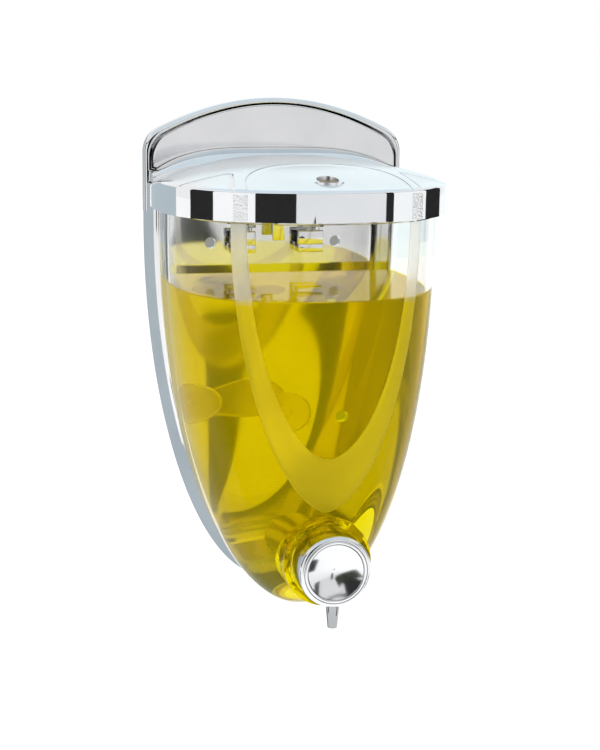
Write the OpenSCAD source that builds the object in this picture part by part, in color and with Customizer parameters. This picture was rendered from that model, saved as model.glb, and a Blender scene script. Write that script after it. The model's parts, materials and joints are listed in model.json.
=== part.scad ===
// Wall mounted soap dispenser: chrome back plate and lid, clear tank, push pump.
// Millimetres, +Z up, wall at y = 0, front towards -Y.
// The origin is on the wall face, at the centre of the four screw holes.

/* [Back plate] */
// Width of the back plate
plate_w = 120; // [112:1:126]
// Rise of the plate's arched top above the lid's lower edge
plate_rise = 46; // [40:1:56]
// Drop of the tray's rounded bottom below the lid's lower edge
tray_drop = 182; // [176:1:190]
// Depth of the tray that the tank nests against
tray_depth = 16; // [15:0.5:18]
// Spacing of the wall screws along X
screw_x = 60; // [52:1:66]
// Spacing of the wall screws along Z
screw_z = 80; // [60:1:90]

/* [Tank] */
// Width of the tank
tank_w = 114; // [108:1:116]
// Distance from the wall to the front of the tank
tank_front = 113; // [108:1:116]
// Depth of the tank below the lid's lower edge
tank_drop = 177; // [172:1:178]
// Thickness of the tank's wall
tank_wall = 2.4; // [1.8:0.2:3]

/* [Lid] */
// Width of the lid
lid_w = 124.6; // [122:0.2:127]
// Height of the lid's upright band
band_h = 12.8; // [11:0.2:15]
// Height of the lid's crown
crown_h = 21.5; // [20:0.5:23]

/* [Pump] */
// Radius of the push button
button_r = 15.2; // [13:0.2:15.4]
// Travel of the push button
button_travel = 5; // [3:0.5:5]
// Outer radius of the tank's boss
boss_r = 18.8; // [18.2:0.2:20]

/* [Hidden] */

$fn = 64;
// Height of the lid's lower edge above the origin
rim_z = 60;
// The plate's half width and the thickness of its floor
plate_hw = plate_w / 2;
floor_t = 3;
// Thickness of the upper plate's face and of its raised rim
face_t = 5.2;
rim_t = 6.6;
rim_w = 4;
// Where the sides of the tray and the tank start to curve in
curve_z = -10;
// The tray's side wall: thickness, and how much it narrows towards the front
tray_wall = 2.5;
tray_scale = 0.935;
// The ledge that stands forward behind the lid
shelf_y = -22.3;
shelf_low = 9;
shelf_mid = 24.4;
shelf_side = 13.5;
// Screw holes in the plate's floor
screw_r = 2.6;
screw_head_r = 6;
// Hooks that carry the tank
hook_x = 16;
hook_w = 12;
hook_top = -20;
hook_arm = 4;
hook_lip_y = -9.6;
hook_tip_y = -12;
hook_lip_h = 6;
// Centre catch that hangs from the ledge
catch_w = 5.6;
catch_low = -18;
// Tank: back face, straight part of the sides, and height of the rim inside the lid
tank_back = -tray_depth - 0.2;
tank_mid = -48;
tank_top = 6;
tank_hw = tank_w / 2;
tank_back_hw = tank_hw - 1.2;
tank_round = 2.55;
side_round = 4;
// The tank's rim steps in above this height, so the lid's skirt goes round it
neck_z = -0.6;
neck_out = 1.4;
neck_in = 3.4;
// Raised satin band on the front: half widths and drops of its outer and inner edges
band_out_w = 39.6;
band_out_h = 121;
band_out_e = 0.6;
band_in_w = 34;
band_in_h = 97.5;
band_in_e = 0.56;
band_proud = 0.8;
// Boss and pump axis
pump_z = rim_z - 141.5;
boss_front = -107.6;
boss_bore = 16.4;
bulk_front = -98.6;
bulk_back = -95.6;
pump_hole_r = 8.9;
// Clear ring on the mouth of the boss
ring_front = -111;
ring_bore = 15.8;
// Pump body
pump_r = 8.8;
pump_back = -50;
flange_r = 13;
gasket_t = 1;
flange_t = 1.8;
flange_back = bulk_front - gasket_t;
flange_front = flange_back - flange_t;
chamber_r = 6.5;
chamber_back = -58;
lip_r = 1.8;
lip_t = 0.5;
cage_r = 2.9;
seat_front = -52;
seat_r = 4;
inlet_r = 1.6;
ball_r = 2.4;
nut_back = -91;
// Guide bush and stem
bush_front = flange_front - 2;
bush_back = flange_front + 4.4;
stem_r = 3;
fit = 0.06;
// Piston
piston_back = -80;
piston_front = -88;
piston_r = 6.3;
groove_r = 5.1;
groove_w = 1.6;
groove_y = [-81.8, -86.2];
ring_minor = 0.68;
ring_major = 5.8;
channel_r = 1.3;
stem_end = -117;
outlet_seat = -112.6;
outlet_cage = 2.2;
outlet_r = 1.7;
// Return spring, drawn at its pressed length
spring_len = 17;
spring_coil = 4.7;
spring_wire = 0.5;
spring_turns = 7;
spring_steps = 14;
spring_sides = 8;
// Push button
button_front = -124.5;
button_back = -108;
button_wall = 1.8;
hub_r = 5.5;
hub_back = -109;
dish_r = 12.4;
dish_deep = 2.6;
edge_r = 2.6;
// Nozzle
nozzle_y = -119.5;
nozzle_top_r = 2.9;
nozzle_tip_r = 2.1;
nozzle_neck_r = 2.6;
nozzle_neck_z = -5;
nozzle_tip_z = -25;
nozzle_bore = 1.2;
// Lid: plan, shell thickness, and the rear edge
lid_hw = lid_w / 2;
lid_front = -114.5;
lid_back = -25.5;
lid_back_hw = lid_hw - 1.6;
lid_round = 2.4;
lid_t = 2;
lid_side_top = 12.2;
peak_y = -62;
back_top = 20.3;
// Hinge of the lid
hinge_y = -28.5;
hinge_z = 15.2;
pin_r = 1.5;
pin_x = 16;
pin_len = 14;
lug_r = 2.6;
lug_x = 17;
lug_w = 6;
ear_x = 24;
ear_w = 4;
ear_top = 18.9;
// Lock: barrel, sleeve in the lid, cam and its screw
lock_y = -101.2;
lock_bore = 4.6;
lock_r = 4.54;
lock_top = 15.6;
lock_low = 3;
sleeve_r = 7;
sleeve_low = 6;
slot_w = 1.4;
slot_deep = 2;
cam_t = 2.2;
cam_len = 7.2;
cam_w = 6;
cam_screw_r = 1.2;

// Height of the lid's crown along the centre line, from front to back
function crown(y) = y < peak_y
  ? band_h + (crown_h - band_h) * (1 - pow((peak_y - y) / (peak_y - lid_front), 2.4))
  : crown_h - (crown_h - back_top) * pow((y - peak_y) / (lid_back - peak_y), 2);

// Height of the lid's crown across its width
function cross(x, low, hw) = low + (crown_h - low) * (1 - pow(min(1, abs(x) / hw), 2.4));

// Rounded front outline of the tank and the lid, seen from above
function plan(hw, back_hw, back, front, n, grow) = concat(
  [[back_hw - grow, back - grow]],
  [for (i = [0 : 40])
    let (a = 90 * i / 20, c = cos(a), s = sin(a))
    [(hw - grow) * sign(c) * pow(abs(c), 2 / n),
     tank_mid + (front + grow - tank_mid) * pow(abs(s), 2 / n)]],
  [[-back_hw + grow, back - grow]]);

// Outline from the front: straight sides that curve in to a rounded bottom
function shield(hw, top, drop) = concat(
  [[hw, top]],
  [for (i = [0 : 48])
    let (a = 180 * i / 48)
    [hw * cos(a), curve_z - (drop + curve_z) * sin(a)]],
  [[-hw, top]]);

// Outline of the tank from the side: flat back, full front that curves in to the bottom
function flank(back, front, top, drop) = concat(
  [[back, top], [front, top]],
  [for (i = [0 : 24])
    let (t = sin(90 * i / 24))
    [back + (front - back) * pow(1 - pow(t, side_round), 1 / side_round), -drop * t]]);

// Arched top of the back plate, right half, from the side up to the centre
function arch(hw, rise) = concat(
  [[hw, 0], [hw, rise - 22]],
  [for (i = [0 : 8])
    let (a = 68 * i / 8)
    [hw - 12 + 12 * cos(a), rise - 22 + 9.5 * sin(a)]],
  [for (i = [1 : 12])
    let (x = (hw - 7.5) * (1 - i / 12))
    [x, rise - 13.2 * pow(x / (hw - 7.5), 2)]]);

// Whole outline of a plate with an arched top and a rounded bottom
function plate_outline(hw, rise, drop) = concat(
  [for (i = [48 : -1 : 0])
    let (a = 180 * i / 48)
    [hw * cos(a), curve_z - (drop + curve_z) * sin(a)]],
  [for (p = arch(hw, rise)) p],
  [for (i = [len(arch(hw, rise)) - 2 : -1 : 0])
    [-arch(hw, rise)[i][0], arch(hw, rise)[i][1]]]);

// Extrude an outline drawn in X and Z, from y0 back towards the wall at y1
module front_prism(points, y0, y1) {
  translate([0, y1, rim_z])
    rotate([90, 0, 0])
      linear_extrude(height = y1 - y0) polygon(points);
}

// Extrude an outline drawn in Y and Z across the width
module side_prism(points, hw) {
  translate([-hw, 0, rim_z])
    rotate([90, 0, 90])
      linear_extrude(height = 2 * hw) polygon(points);
}

// Extrude an outline drawn in X and Y upwards
module plan_prism(points, z0, z1) {
  translate([0, 0, rim_z + z0])
    linear_extrude(height = z1 - z0) polygon(points);
}

// A round bar along Y on the pump's axis
module bar(r, y0, y1, fn = 64) {
  translate([0, y1, pump_z])
    rotate([90, 0, 0])
      cylinder(r = r, h = y1 - y0, $fn = fn);
}

// A box from its corners, with heights measured from the lid's lower edge
module block(x0, x1, y0, y1, z0, z1) {
  translate([x0, y0, rim_z + z0])
    cube([x1 - x0, y1 - y0, z1 - z0]);
}

// One ledge profile seen from the side, rounded at its upper front
function ledge() = concat(
  [[-floor_t, shelf_low], [shelf_y, shelf_low]],
  [for (i = [0 : 12])
    let (a = 90 * i / 12)
    [shelf_y + 15.7 * (1 - cos(a)), 18.5 + 5.9 * sin(a)]],
  [[-floor_t, shelf_mid]]);

// The ledge seen from the front: flat in the middle, lower towards the sides
function ledge_front(hw) = concat(
  [[hw, shelf_low]],
  [for (i = [0 : 24])
    let (x = hw * cos(180 * i / 24))
    [x, shelf_side + (shelf_mid - shelf_side) * (1 - pow(abs(x) / hw, 2.6))]],
  [[-hw, shelf_low]]);

module wall_plate() {
  color("silver") {
    difference() {
      union() {
        front_prism(plate_outline(plate_hw, plate_rise, tray_drop), -floor_t, 0);
        // upper face and its raised rim
        intersection() {
          front_prism(plate_outline(plate_hw, plate_rise, tray_drop), -rim_t, -floor_t);
          block(-plate_hw, plate_hw, -rim_t, -floor_t, 0, plate_rise);
        }
        // ledge behind the lid
        intersection() {
          side_prism(ledge(), plate_hw - 1.5);
          front_prism(ledge_front(plate_hw - 1.5), shelf_y, -floor_t);
        }
        tray_rim();
        for (side = [-1, 1]) plate_hook(side);
        block(-catch_w / 2, catch_w / 2, -15.8, -13.8, catch_low, shelf_low);
        block(-12, 12, tank_back, -floor_t, -150, -146);
      }
      // recess of the upper face inside its raised rim
      front_prism([for (p = plate_outline(plate_hw - rim_w, plate_rise - rim_w, 0))
        if (p[1] > shelf_mid - 1) p], -rim_t - 1, -face_t);
      for (sx = [-1, 1])
        for (sz = [-1, 1])
          translate([sx * screw_x / 2, 1, sz * screw_z / 2])
            rotate([90, 0, 0])
              cylinder(r = screw_r, h = floor_t + 2, $fn = 48);
    }
  }
}

// Side wall of the tray, narrowing towards the tank
module tray_rim() {
  intersection() {
    difference() {
      tray_taper(plate_hw, tray_drop, -floor_t);
      tray_taper(plate_hw - tray_wall, tray_drop - tray_wall, -floor_t + 1);
    }
    block(-plate_hw, plate_hw, -tray_depth, -floor_t, -tray_drop, shelf_low + 2);
  }
}

module tray_taper(hw, drop, y1) {
  translate([0, y1, rim_z + curve_z])
    rotate([90, 0, 0])
      linear_extrude(height = tray_depth + y1 + 1, scale = tray_scale)
        polygon([for (p = shield(hw, shelf_low + 12, drop)) [p[0], p[1] - curve_z]]);
}

// Hook on the plate that the tank's tongue drops behind
module plate_hook(side) {
  x0 = side * hook_x - hook_w / 2;
  x1 = side * hook_x + hook_w / 2;
  block(x0, x1, hook_tip_y, -floor_t, hook_top - hook_arm, hook_top);
  block(x0, x1, hook_tip_y, hook_lip_y, hook_top, hook_top + hook_lip_h);
}

// Solid of the tank, shrunk by a wall thickness for its inside
module tank_solid(grow, top) {
  hw = tank_hw;
  intersection() {
    plan_prism(plan(hw, tank_back_hw, tank_back, -tank_front, tank_round, grow),
      -tank_drop + grow, top);
    front_prism(shield(hw - grow, top, tank_drop - grow), -tank_front, tank_back);
    side_prism(flank(tank_back - grow, -tank_front + grow, top, tank_drop - grow), hw);
  }
}

// Outline of a U seen from the front, filled
function u_shape(w, h, e, top) = concat(
  [[w, top]],
  [for (i = [0 : 40])
    let (x = cos(180 * i / 40))
    let (t = sqrt(max(0, 1 - pow(abs(x), 1 / e))))
    [w * x, -h * t]],
  [[-w, top]]);

module satin_band() {
  intersection() {
    tank_shell_skin();
    difference() {
      front_prism(u_shape(band_out_w, band_out_h, band_out_e, 0), -tank_front - 2, -80);
      front_prism(u_shape(band_in_w, band_in_h, band_in_e, 1), -tank_front - 3, -79);
    }
  }
}

// Thin skin just outside the tank's wall, which the satin band is cut from
module tank_shell_skin() {
  difference() {
    intersection() {
      plan_prism(plan(tank_hw, tank_back_hw, tank_back, -tank_front, tank_round, -band_proud),
        -tank_drop, neck_z);
      side_prism(flank(tank_back, -tank_front - band_proud, 0, tank_drop), tank_hw);
    }
    tank_solid(0.2, tank_top);
  }
}

// Tongue on the tank's back that drops behind a hook
module tank_tongue(side) {
  x0 = side * hook_x - hook_w / 2 + 1;
  x1 = side * hook_x + hook_w / 2 - 1;
  block(x0, x1, -8.5, -6.5, hook_top, -10);
  block(x0, x1, tank_back - 0.5, -6.5, -12, -10);
}

// Lug on the tank's rear rim for the lid's hinge pin
module hinge_lug(side) {
  x0 = side * (lug_x + lug_w / 2) - lug_w / 2;
  difference() {
    union() {
      block(x0, x0 + lug_w, hinge_y - lug_r, hinge_y + lug_r, 2, hinge_z);
      block(x0, x0 + lug_w, hinge_y, tank_back - 1, 2, tank_top);
      translate([x0, hinge_y, rim_z + hinge_z])
        rotate([0, 90, 0]) cylinder(r = lug_r, h = lug_w, $fn = 40);
    }
    translate([x0 - 1, hinge_y, rim_z + hinge_z])
      rotate([0, 90, 0]) cylinder(r = pin_r + fit, h = lug_w + 2, $fn = 40);
  }
}

module tank() {
  color("khaki") {
    difference() {
      union() {
        tank_solid(0, neck_z);
        tank_solid(neck_out, tank_top);
        satin_band();
        bar(boss_r, boss_front, -72, 96);
      }
      tank_solid(tank_wall, neck_z - neck_in);
      tank_solid(neck_in, tank_top + 1);
      bar(boss_bore, boss_front - 1, bulk_front, 96);
      bar(boss_bore, bulk_back, -74, 96);
      bar(pump_hole_r, bulk_front - 1, bulk_back + 1);
    }
    for (side = [-1, 1]) tank_tongue(side);
    for (side = [-1, 1]) hinge_lug(side);
    // catch inside the front rim for the lock's cam
    block(-8, 8, -tank_front + 1, -106.4, 3.2, tank_top);
  }
}

// Solid of the lid, shrunk by the shell thickness for its inside
module lid_solid(grow, low) {
  intersection() {
    plan_prism(plan(lid_hw, lid_back_hw, lid_back, lid_front, lid_round, grow), low, crown_h);
    side_prism(concat([[lid_front - 1, low], [lid_front - 1, band_h - grow]],
      [for (i = [0 : 24]) let (y = lid_front + (lid_back - lid_front) * i / 24)
        [y, crown(y) - grow]],
      [[lid_back + 1, back_top - grow], [lid_back + 1, low]]), lid_hw);
    front_prism(concat([[lid_hw, low]],
      [for (i = [0 : 36]) let (x = lid_hw * cos(180 * i / 36))
        [x, cross(x, lid_side_top, lid_hw) - grow]],
      [[-lid_hw, low]]), lid_front, lid_back);
  }
}

module lid() {
  color("lightsteelblue") {
    difference() {
      union() {
        difference() {
          lid_solid(0, 0);
          lid_solid(lid_t, -1);
          // the rear is open below the hinge, so the lid can tip back
          block(-32, 32, lid_back - 4, lid_back + 1, -1, hinge_z + 3);
          block(-lid_hw, lid_hw, lid_back - 4, lid_back + 1, -1, 7);
        }
        translate([0, lock_y, rim_z + sleeve_low])
          cylinder(r = sleeve_r, h = lock_top - sleeve_low + 0.4);
        for (side = [-1, 1]) lid_ear(side);
      }
      translate([0, lock_y, rim_z]) cylinder(r = lock_bore, h = crown_h + 2);
      for (side = [-1, 1])
        translate([side * (ear_x + ear_w / 2) - ear_w / 2 - 1, hinge_y, rim_z + hinge_z])
          rotate([0, 90, 0]) cylinder(r = pin_r + fit, h = ear_w + 2, $fn = 40);
    }
  }
}

// Ear under the lid that turns on the hinge pin
module lid_ear(side) {
  x0 = side * (ear_x + ear_w / 2) - ear_w / 2;
  translate([x0, hinge_y, rim_z + hinge_z])
    rotate([0, 90, 0]) cylinder(r = lug_r, h = ear_w, $fn = 40);
  block(x0, x0 + ear_w, hinge_y - lug_r, hinge_y + lug_r, hinge_z, ear_top);
}

module hinge_pins() {
  color("gray")
    for (side = [-1, 1])
      translate([side * (pin_x + pin_len / 2) - pin_len / 2, hinge_y, rim_z + hinge_z])
        rotate([0, 90, 0]) cylinder(r = pin_r, h = pin_len, $fn = 40);
}

module lock_barrel() {
  color("darkkhaki")
    translate([0, lock_y, rim_z])
      difference() {
        translate([0, 0, lock_low]) cylinder(r = lock_r, h = lock_top - lock_low);
        translate([-2.6, -slot_w / 2, lock_top - slot_deep]) cube([5.2, slot_w, slot_deep + 1]);
        translate([0, 0, lock_low - 1]) cylinder(r = cam_screw_r, h = 6, $fn = 32);
      }
}

module lock_cam() {
  color("dimgray")
    translate([0, lock_y, rim_z + lock_low - cam_t])
      difference() {
        union() {
          cylinder(r = cam_w / 2, h = cam_t);
          translate([0, -cam_w / 2, 0]) cube([cam_len, cam_w, cam_t]);
        }
        translate([0, 0, -1]) cylinder(r = cam_screw_r, h = cam_t + 2, $fn = 32);
      }
}

module lock_screw() {
  color("gray")
    translate([0, lock_y, rim_z + lock_low - cam_t]) {
      translate([0, 0, -1.4]) cylinder(r = 2.2, h = 1.4, $fn = 32);
      cylinder(r = cam_screw_r, h = cam_t + 4, $fn = 32);
    }
}

module boss_ring() {
  color("lightyellow")
    difference() {
      bar(boss_r, ring_front, boss_front, 96);
      bar(ring_bore, ring_front - 1, boss_front + 1, 96);
      bar(ring_bore + 1.4, ring_front - 1, ring_front + 0.8, 96);
    }
}

module pump_body() {
  color("white")
    difference() {
      union() {
        bar(pump_r, flange_front, pump_back);
        bar(flange_r, flange_front, flange_back);
      }
      bar(chamber_r, flange_front - 1, chamber_back);
      bar(lip_r, chamber_back - 1, chamber_back + 1);
      bar(cage_r, chamber_back + lip_t, seat_front + 1);
      bar(seat_r, seat_front, pump_back + 1);
    }
}

module pump_gasket() {
  color("black")
    difference() {
      bar(flange_r - 0.5, flange_back, bulk_front);
      bar(pump_r + fit, flange_back - 1, bulk_front + 1);
    }
}

module pump_nut() {
  color("gainsboro")
    difference() {
      bar(flange_r, bulk_back, nut_back, 6);
      bar(pump_r + fit, bulk_back - 1, nut_back + 1);
    }
}

module guide_bush() {
  color("whitesmoke")
    difference() {
      union() {
        bar(9, bush_front, flange_front);
        bar(chamber_r - fit, flange_front, bush_back);
      }
      bar(stem_r + fit, bush_front - 1, bush_back + 1);
    }
}

module piston() {
  color("lightblue")
    difference() {
      union() {
        bar(piston_r, piston_front, piston_back);
        bar(stem_r, stem_end, piston_front + 1);
      }
      for (y = groove_y)
        difference() {
          bar(piston_r + 1, y - groove_w / 2, y + groove_w / 2);
          bar(groove_r, y - groove_w, y + groove_w);
        }
      bar(channel_r, stem_end - 1, piston_back + 1, 32);
      bar(outlet_cage, stem_end - 1, outlet_seat, 40);
    }
}

module piston_rings() {
  color("black")
    for (y = groove_y)
      translate([0, y, pump_z])
        rotate([90, 0, 0])
          rotate_extrude($fn = 64) translate([ring_major, 0]) circle(r = ring_minor, $fn = 24);
}

// Centre of the spring's wire at step k, along the pump's axis
function coil(k) = let (a = 360 * k / spring_steps)
  [spring_coil * cos(a),
   piston_back + spring_wire + (spring_len - 2 * spring_wire) * k / (spring_turns * spring_steps),
   pump_z + spring_coil * sin(a)];

module return_spring() {
  n = spring_turns * spring_steps;
  points = [for (k = [0 : n]) for (j = [0 : spring_sides - 1])
    let (a = 360 * k / spring_steps, b = 360 * j / spring_sides)
    coil(k) + spring_wire * [cos(a) * cos(b), sin(b), sin(a) * cos(b)]];
  sides = [for (k = [0 : n - 1]) for (j = [0 : spring_sides - 1])
    let (m = (j + 1) % spring_sides)
    [k * spring_sides + j, (k + 1) * spring_sides + j,
     (k + 1) * spring_sides + m, k * spring_sides + m]];
  first = [[for (j = [0 : spring_sides - 1]) j]];
  last = [[for (j = [spring_sides - 1 : -1 : 0]) n * spring_sides + j]];
  color("darkgray") polyhedron(points, concat(sides, first, last), convexity = 8);
}

// Half section of the button, radius against depth from its front edge
function button_half() = concat(
  [[0, dish_deep]],
  [for (i = [1 : 10])
    let (r = dish_r * i / 10)
    [r, dish_deep * (1 - pow(i / 10, 2.2))]],
  [for (i = [0 : 8])
    let (a = 90 - 90 * i / 8)
    [button_r - edge_r + edge_r * cos(a), edge_r * (1 - sin(a))]],
  [[button_r, button_back - button_front], [0, button_back - button_front]]);

module push_button() {
  color("silver")
    difference() {
      translate([0, button_front, pump_z])
        rotate([-90, 0, 0]) rotate_extrude($fn = 96) polygon(button_half());
      difference() {
        bar(button_r - button_wall, button_front + dish_deep + button_wall + 1, button_back + 1, 96);
        bar(hub_r, button_front, hub_back);
        translate([0, nozzle_y, pump_z - button_r]) cylinder(r = 4.3, h = button_r, $fn = 48);
      }
      bar(stem_r, stem_end, button_back + 1);
      bar(1.5, nozzle_y, stem_end + 1, 32);
      translate([0, nozzle_y, pump_z + nozzle_neck_z])
        cylinder(r = 1.5, h = -nozzle_neck_z, $fn = 32);
      translate([0, nozzle_y, pump_z - button_r - 1])
        cylinder(r = nozzle_neck_r, h = button_r + 1 + nozzle_neck_z, $fn = 48);
    }
}

module nozzle() {
  color("silver")
    translate([0, nozzle_y, pump_z])
      difference() {
        union() {
          translate([0, 0, -button_r - 0.6])
            cylinder(r = nozzle_neck_r, h = button_r + 0.6 + nozzle_neck_z, $fn = 48);
          translate([0, 0, nozzle_tip_z])
            cylinder(r1 = nozzle_tip_r, r2 = nozzle_top_r,
              h = -button_r - 0.6 - nozzle_tip_z, $fn = 48);
        }
        translate([0, 0, nozzle_tip_z - 1])
          cylinder(r = nozzle_bore, h = 1 - nozzle_tip_z, $fn = 32);
      }
}

module inlet_seat() {
  color("white")
    difference() {
      bar(seat_r, seat_front, pump_back);
      bar(inlet_r, seat_front - 1, pump_back + 1, 32);
    }
}

module inlet_ball() {
  color("lightgray")
    translate([0, seat_front - sqrt(ball_r * ball_r - inlet_r * inlet_r) - 0.03, pump_z])
      sphere(r = ball_r, $fn = 48);
}

module outlet_ball() {
  color("lightgray")
    translate([0, outlet_seat - sqrt(outlet_r * outlet_r - channel_r * channel_r) - 0.03, pump_z])
      sphere(r = outlet_r, $fn = 48);
}

wall_plate();
tank();
lid();
hinge_pins();
lock_barrel();
lock_cam();
lock_screw();
boss_ring();
pump_body();
pump_gasket();
pump_nut();
guide_bush();
piston();
piston_rings();
return_spring();
push_button();
nozzle();
inlet_seat();
inlet_ball();
outlet_ball();
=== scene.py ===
# %% [markdown]
# # Wall mounted soap dispenser
# A chrome back plate holds a clear tank of yellow soap, closed by a chrome lid.
# A push pump sits in a round boss at the tank's lower front.
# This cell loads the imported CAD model, whose places and sizes everything else keeps.

# %% Load the frame
import bpy
import bmesh
import json
from math import sin, cos, pi, radians, sqrt, copysign
from mathutils import Vector, Matrix


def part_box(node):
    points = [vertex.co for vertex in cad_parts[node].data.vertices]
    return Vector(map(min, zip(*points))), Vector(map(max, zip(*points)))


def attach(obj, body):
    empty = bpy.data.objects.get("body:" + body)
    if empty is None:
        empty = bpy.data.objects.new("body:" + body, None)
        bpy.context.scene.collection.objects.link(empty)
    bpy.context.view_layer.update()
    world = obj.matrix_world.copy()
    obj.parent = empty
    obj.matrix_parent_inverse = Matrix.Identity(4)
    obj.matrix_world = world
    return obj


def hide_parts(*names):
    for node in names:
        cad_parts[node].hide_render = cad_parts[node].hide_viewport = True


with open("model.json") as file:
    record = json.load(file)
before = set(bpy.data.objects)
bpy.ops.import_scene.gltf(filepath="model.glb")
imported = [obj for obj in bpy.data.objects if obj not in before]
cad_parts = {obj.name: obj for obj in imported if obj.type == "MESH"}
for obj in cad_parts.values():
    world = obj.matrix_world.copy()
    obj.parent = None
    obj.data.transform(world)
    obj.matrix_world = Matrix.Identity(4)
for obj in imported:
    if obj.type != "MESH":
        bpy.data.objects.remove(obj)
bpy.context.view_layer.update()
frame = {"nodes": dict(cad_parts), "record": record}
MM = 0.001
lid_low, lid_high = [Vector(c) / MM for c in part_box("lid")]
tank_low = Vector(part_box("tank")[0]) / MM
plate_low, plate_high = [Vector(c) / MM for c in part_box("wall_plate")]
button_low, button_high = [Vector(c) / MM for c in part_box("push_button")]
nozzle_low, nozzle_high = [Vector(c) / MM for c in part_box("nozzle")]
ring_low, ring_high = [Vector(c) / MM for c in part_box("boss_ring")]
RIM = lid_low.z

# %% [markdown]
# Most pieces here are skins drawn over a row of closed loops, as a boat's skin is
# drawn over its frames. The first loop is laid out point by point, and the extrude
# operator carries it from loop to loop, so the faces come from the operator.
# The helpers work in millimetres from the CAD origin and scale to metres at the end.

# %% Helpers for skins and solids
def skin(bm, loops):
    """Extrude a closed loop of points through a row of loops of the same length."""
    count = len(loops[0])
    row = [bm.verts.new(p) for p in loops[0]]
    edges = [bm.edges.new((row[i], row[(i + 1) % count])) for i in range(count)]
    first = list(row)
    for loop in loops[1:]:
        made = bmesh.ops.extrude_edge_only(bm, edges=edges)["geom"]
        fresh = {v for v in made if isinstance(v, bmesh.types.BMVert)}
        nxt = []
        for v in row:
            nxt.append(next(e.other_vert(v) for e in v.link_edges if e.other_vert(v) in fresh))
        for v, p in zip(nxt, loop):
            v.co = p
        edges = [bm.edges.get((nxt[i], nxt[(i + 1) % count])) for i in range(count)]
        row = nxt
    return first, row


def cap(bm, row):
    """Close a loop with one flat face."""
    bmesh.ops.contextual_create(bm, geom=row)


def bolster(bm, ring):
    """Draw a loop's points together into one pole."""
    centre = sum((v.co for v in ring), Vector()) / len(ring)
    bmesh.ops.pointmerge(bm, verts=ring, merge_co=centre)


def finish_piece(bm, name, material, body, sharp=35):
    """Turn the bmesh into a smooth object in metres that rides on a CAD body."""
    bmesh.ops.remove_doubles(bm, verts=bm.verts, dist=0.0005)
    bmesh.ops.recalc_face_normals(bm, faces=bm.faces)
    bmesh.ops.scale(bm, vec=(MM, MM, MM), verts=bm.verts)
    mesh = bpy.data.meshes.new(name)
    bm.to_mesh(mesh)
    bm.free()
    for face in mesh.polygons:
        face.use_smooth = True
    mesh.set_sharp_from_angle(angle=radians(sharp))
    mesh.materials.append(material)
    piece = bpy.data.objects.new(name, mesh)
    bpy.context.scene.collection.objects.link(piece)
    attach(piece, body)
    print(name, len(mesh.polygons), "faces")
    return piece


def box_island(bm, x0, x1, y0, y1, z0, z1, round_by=0.0):
    """Add a box with its heights measured from the lid's lower edge."""
    made = bmesh.ops.create_cube(bm, size=1.0)["verts"]
    bmesh.ops.scale(bm, vec=(x1 - x0, y1 - y0, z1 - z0), verts=made)
    bmesh.ops.translate(bm, vec=((x0 + x1) / 2, (y0 + y1) / 2, RIM + (z0 + z1) / 2), verts=made)
    if round_by:
        edges = list({e for v in made for e in v.link_edges})
        bmesh.ops.bevel(bm, geom=edges, offset=round_by, affect="EDGES", segments=3,
                        profile=0.5, material=-1)


def turned(bm, half, axis_point, axis, steps=96):
    """Spin a half section of (radius, distance along the axis) once round the axis."""
    axis = Vector(axis).normalized()
    across = axis.orthogonal().normalized()
    row = [bm.verts.new(Vector(axis_point) + across * r + axis * d) for r, d in half]
    edges = [bm.edges.new((row[i], row[i + 1])) for i in range(len(row) - 1)]
    bmesh.ops.spin(bm, geom=row + edges, cent=axis_point, axis=axis, dvec=(0, 0, 0),
                   angle=2 * pi, steps=steps, use_merge=True)


def power(base, exponent):
    return copysign(abs(base) ** exponent, base)

# %% [markdown]
# ## Finishes
# Bright chrome is a metal with hardly any roughness. Real plating on plastic is never
# perfect: it carries very fine waves and a trace of dulling, so a soft noise drives a
# slight bump and a small change in roughness, and the reflections stay lively.

# %% Chrome and other metals
def new_material(name):
    material = bpy.data.materials.new(name)
    material.use_nodes = True
    nodes = material.node_tree.nodes
    return material, nodes, material.node_tree.links, nodes["Principled BSDF"]


def grain(nodes, links, shader, scale, strength, distance, low, high):
    """Fine waves in the surface, and a roughness that wanders between two values."""
    place = nodes.new("ShaderNodeTexCoord")
    noise = nodes.new("ShaderNodeTexNoise")
    noise.inputs["Scale"].default_value = scale
    noise.inputs["Detail"].default_value = 3.0
    links.new(place.outputs["Object"], noise.inputs["Vector"])
    bump = nodes.new("ShaderNodeBump")
    bump.inputs["Strength"].default_value = strength
    bump.inputs["Distance"].default_value = distance
    links.new(noise.outputs["Fac"], bump.inputs["Height"])
    links.new(bump.outputs["Normal"], shader.inputs["Normal"])
    spread = nodes.new("ShaderNodeMapRange")
    spread.inputs["To Min"].default_value = low
    spread.inputs["To Max"].default_value = high
    links.new(noise.outputs["Fac"], spread.inputs["Value"])
    links.new(spread.outputs["Result"], shader.inputs["Roughness"])
    return noise


def tone(nodes, links, shader, noise, dark, light):
    """Let the base colour wander between two close tones along a noise."""
    ramp = nodes.new("ShaderNodeValToRGB")
    ramp.color_ramp.elements[0].position = 0.3
    ramp.color_ramp.elements[1].position = 0.7
    ramp.color_ramp.elements[0].color = (*dark, 1)
    ramp.color_ramp.elements[1].color = (*light, 1)
    links.new(noise.outputs["Fac"], ramp.inputs["Fac"])
    links.new(ramp.outputs["Color"], shader.inputs["Base Color"])


def metal(name, dark, light, low, high, scale=40.0, strength=0.02, distance=0.0002):
    material, nodes, links, shader = new_material(name)
    shader.inputs["Metallic"].default_value = 1.0
    noise = grain(nodes, links, shader, scale, strength, distance, low, high)
    tone(nodes, links, shader, noise, dark, light)
    return material


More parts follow.
